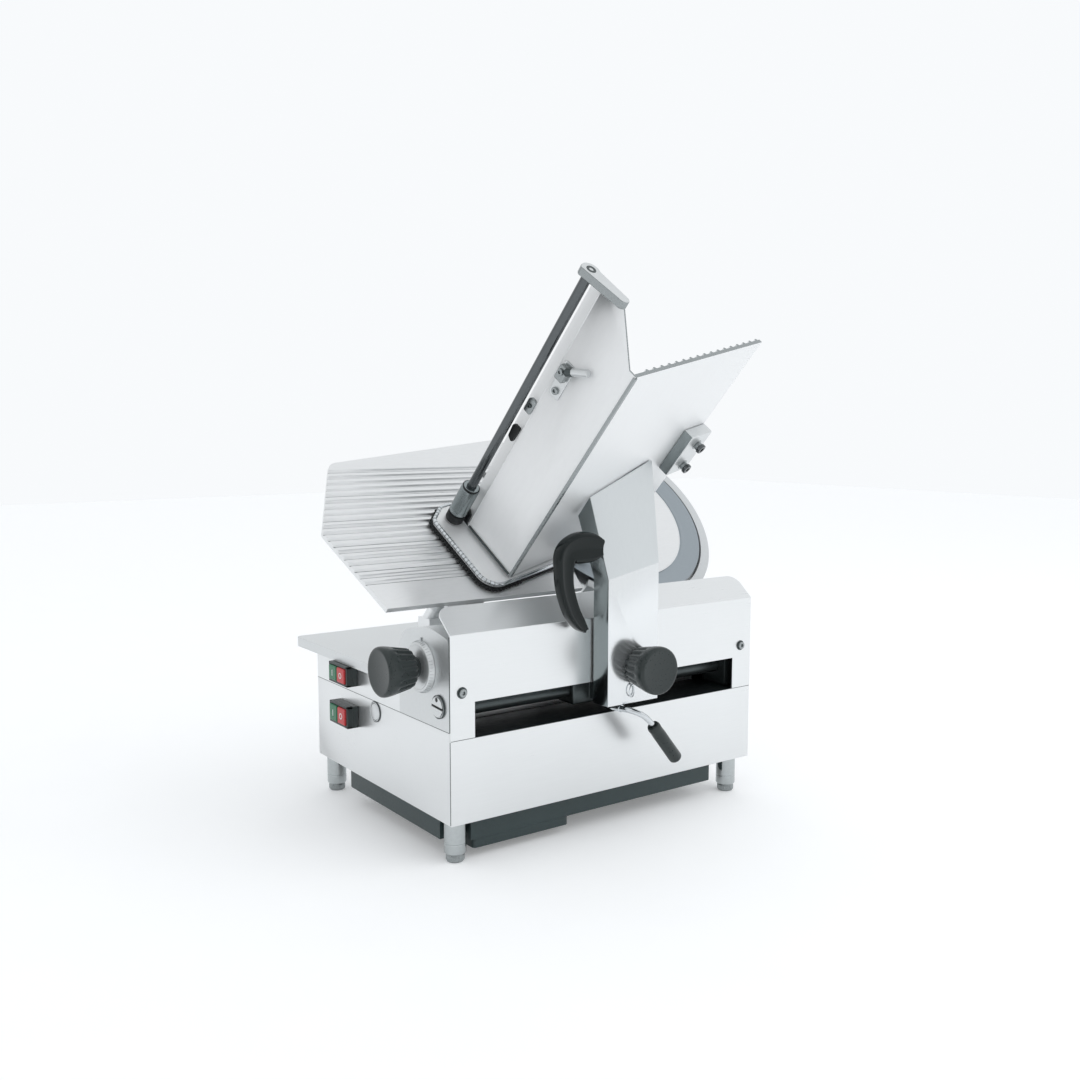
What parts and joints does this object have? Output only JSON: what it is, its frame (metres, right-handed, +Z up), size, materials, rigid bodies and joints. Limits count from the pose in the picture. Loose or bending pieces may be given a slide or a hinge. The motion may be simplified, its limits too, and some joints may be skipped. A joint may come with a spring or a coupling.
{
  "type": "deli meat slicer",
  "caption": "Commercial deli meat slicer with inclined round blade, gauge plate, thickness dial and a tilting food chute on a sliding carriage.",
  "frame": {"origin": "bottom centre of the bounding box, on the surface the foot pads stand on", "axes": "+X along the front panel to the operator's right, +Y from the operator to the back, +Z up"},
  "size_m": [0.7477, 0.7247, 0.8474],
  "materials": {
    "brushed_steel": "brushed",
    "anodised_aluminium": "satin",
    "chrome": "polished",
    "blade_steel": "ground",
    "black_plastic": "satin",
    "pan_plastic": "matte",
    "rubber": "matte",
    "green_plastic": "gloss",
    "red_plastic": "gloss",
    "cast_iron": "painted"
  },
  "bodies": {
    "base": {"base_shell": "brushed_steel", "upper_housing": "brushed_steel", "table_top": "anodised_aluminium", "front_apron": "brushed_steel", "dial_boss": "anodised_aluminium", "bottom_pan": "pan_plastic", "foot_front_left": "anodised_aluminium", "foot_front_right": "anodised_aluminium", "foot_rear_left": "anodised_aluminium", "foot_rear_right": "anodised_aluminium", "foot_pad_front_left": "rubber", "foot_pad_front_right": "rubber", "foot_pad_rear_left": "rubber", "foot_pad_rear_right": "rubber", "apron_screw_left": "chrome", "apron_screw_right": "chrome", "end_plug": "chrome", "switch_housing_lower": "black_plastic", "switch_housing_upper": "black_plastic", "blade_pedestal": "anodised_aluminium", "bearing_housing": "cast_iron", "blade_guard": "anodised_aluminium", "blade_cover": "anodised_aluminium", "blade_motor": "cast_iron", "carriage_motor": "cast_iron", "carriage_rail": "chrome", "rail_block_left": "cast_iron", "rail_block_right": "cast_iron", "guide_rail": "brushed_steel", "gauge_guide": "brushed_steel", "inlet_gland": "black_plastic"},
    "blade_rotor": {"blade": "blade_steel", "blade_pulley": "brushed_steel"},
    "motor_rotor": {"motor_pulley": "brushed_steel"},
    "drive_rotor": {"drive_pulley": "brushed_steel"},
    "gauge": {"gauge_plate": "anodised_aluminium", "gauge_carrier": "anodised_aluminium"},
    "dial": {"thickness_knob": "black_plastic", "dial_ring": "anodised_aluminium"},
    "green_button_lower": {"button_green_lower": "green_plastic"},
    "red_button_lower": {"button_red_lower": "red_plastic"},
    "green_button_upper": {"button_green_upper": "green_plastic"},
    "red_button_upper": {"button_red_upper": "red_plastic"},
    "cam": {"cam_lock": "chrome"},
    "carriage": {"carriage_block": "anodised_aluminium"},
    "chute": {"support_arm": "brushed_steel", "chute_wall": "brushed_steel", "chute_tray": "anodised_aluminium", "chute_flange": "anodised_aluminium", "bow_handle": "black_plastic", "tray_bracket": "anodised_aluminium", "pusher_rod": "chrome", "rod_top_bar": "anodised_aluminium", "wall_latch": "brushed_steel"},
    "clamp_knob": {"arm_knob": "black_plastic"},
    "lever": {"lever_rod": "chrome", "lever_grip": "black_plastic"},
    "pusher_hub": {"pusher_sleeve": "chrome"},
    "pusher": {"pusher_arm": "brushed_steel", "pusher_plate": "anodised_aluminium"}
  },
  "joints": [
    {"name": "blade_spin", "type": "hinge", "parent": "base", "child": "blade_rotor", "pos_m": [0.1723, 0.04602, 0.48512], "axis": [0, -0.7071, 0.7071], "continuous": true},
    {"name": "motor_spin", "type": "hinge", "parent": "base", "child": "motor_rotor", "pos_m": [0.1723, -0.02398, 0.30198], "axis": [0, -0.7071, 0.7071], "continuous": true},
    {"name": "drive_spin", "type": "hinge", "parent": "base", "child": "drive_rotor", "pos_m": [-0.1807, 0.0144, 0.1945], "axis": [0, 0, 1], "range_deg": [-385, 385]},
    {"name": "gauge_slide", "type": "slide", "parent": "base", "child": "gauge", "axis": [0, 0.7071, -0.7071], "range_m": [0, 0.015]},
    {"name": "dial_turn", "type": "hinge", "parent": "base", "child": "dial", "pos_m": [-0.2707, -0.0656, 0.2841], "axis": [-1, 0, 0], "range_deg": [0, 300]},
    {"name": "green_lower_press", "type": "slide", "parent": "base", "child": "green_button_lower", "axis": [1, 0, 0], "range_m": [0, 0.0025], "stiffness_N_per_m": 600},
    {"name": "red_lower_press", "type": "slide", "parent": "base", "child": "red_button_lower", "axis": [1, 0, 0], "range_m": [0, 0.0025], "stiffness_N_per_m": 600},
    {"name": "green_upper_press", "type": "slide", "parent": "base", "child": "green_button_upper", "axis": [1, 0, 0], "range_m": [0, 0.0025], "stiffness_N_per_m": 600},
    {"name": "red_upper_press", "type": "slide", "parent": "base", "child": "red_button_upper", "axis": [1, 0, 0], "range_m": [0, 0.0025], "stiffness_N_per_m": 600},
    {"name": "cam_turn", "type": "hinge", "parent": "base", "child": "cam", "pos_m": [-0.271, -0.1141, 0.2335], "axis": [-1, 0, 0], "range_deg": [0, 90]},
    {"name": "carriage_slide", "type": "slide", "parent": "base", "child": "carriage", "axis": [1, 0, 0], "range_m": [-0.199, 0.19]},
    {"name": "chute_tilt", "type": "hinge", "parent": "carriage", "child": "chute", "pos_m": [0.0333, -0.1796, 0.2135], "axis": [1, 0, 0], "range_deg": [0, 20]},
    {"name": "clamp_turn", "type": "hinge", "parent": "chute", "child": "clamp_knob", "pos_m": [0.0423, -0.1859, 0.267], "axis": [0, -1, 0], "range_deg": [0, 270]},
    {"name": "lever_swing", "type": "hinge", "parent": "carriage", "child": "lever", "pos_m": [0.0173, -0.1456, 0.201], "axis": [0, 1, 0], "range_deg": [-40, 10]},
    {"name": "pusher_slide", "type": "slide", "parent": "chute", "child": "pusher_hub", "axis": [0, -0.7071, 0.7071], "range_m": [0, 0.38]},
    {"name": "pusher_swing", "type": "hinge", "parent": "pusher_hub", "child": "pusher", "pos_m": [-0.1561, 0.00494, 0.51475], "axis": [0, -0.7071, 0.7071], "range_deg": [0, 120]}
  ],
  "couplings": [
    {"joint": "motor_spin", "follows": "blade_spin", "ratio": 1.9412},
    {"joint": "drive_spin", "follows": "carriage_slide", "rad_per_m": 33.333},
    {"joint": "dial_turn", "follows": "gauge_slide", "rad_per_m": 349}
  ]
}
